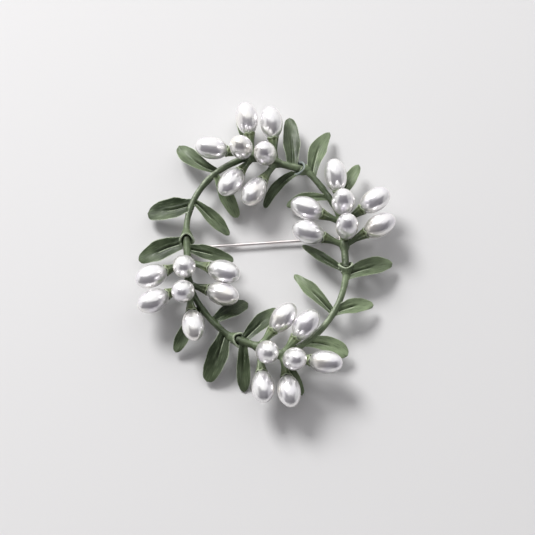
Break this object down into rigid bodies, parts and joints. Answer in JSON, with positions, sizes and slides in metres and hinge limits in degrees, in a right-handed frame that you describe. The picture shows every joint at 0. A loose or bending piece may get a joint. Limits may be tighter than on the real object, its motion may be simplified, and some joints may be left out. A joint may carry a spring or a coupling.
{
  "type": "flower brooch",
  "caption": "Wreath brooch of leafy sprigs with rice pearls in calyx cups, and a hinged pin and hook catch across the back.",
  "frame": {"origin": "centre of the brooch's outline, at the level it rests on", "axes": "+Z out of the brooch's front, +Y towards its top, +X to the right as seen from the front"},
  "size_m": [0.0456, 0.0564, 0.0116],
  "materials": {
    "leaf_paint": "satin green paint, worn pale at the edges",
    "pearl": "glossy pearl lustre",
    "pin_metal": "polished"
  },
  "bodies": {
    "brooch": {"sprig_top": "leaf_paint", "pearl_top_1": "pearl", "pearl_top_2": "pearl", "pearl_top_3": "pearl", "pearl_top_4": "pearl", "pearl_top_5": "pearl", "pearl_top_6": "pearl", "pearl_top_7": "pearl", "sprig_left": "leaf_paint", "pearl_left_1": "pearl", "pearl_left_2": "pearl", "pearl_left_3": "pearl", "pearl_left_4": "pearl", "pearl_left_5": "pearl", "pearl_left_6": "pearl", "pearl_left_7": "pearl", "sprig_bottom": "leaf_paint", "pearl_bottom_1": "pearl", "pearl_bottom_2": "pearl", "pearl_bottom_3": "pearl", "pearl_bottom_4": "pearl", "pearl_bottom_5": "pearl", "pearl_bottom_6": "pearl", "pearl_bottom_7": "pearl", "sprig_right": "leaf_paint", "pearl_right_1": "pearl", "pearl_right_2": "pearl", "pearl_right_3": "pearl", "pearl_right_4": "pearl", "pearl_right_5": "pearl", "pearl_right_6": "pearl", "pearl_right_7": "pearl", "pin_base": "pin_metal", "pin_rivet": "pin_metal", "pin_catch": "pin_metal"},
    "pin": {"pin_stem": "pin_metal"}
  },
  "joints": [
    {"name": "pin_hinge", "type": "hinge", "parent": "brooch", "child": "pin", "pos_m": [-0.014, 0.0022, 0.001], "axis": [-0.0698, 0.9976, 0], "range_deg": [0, 95]}
  ]
}
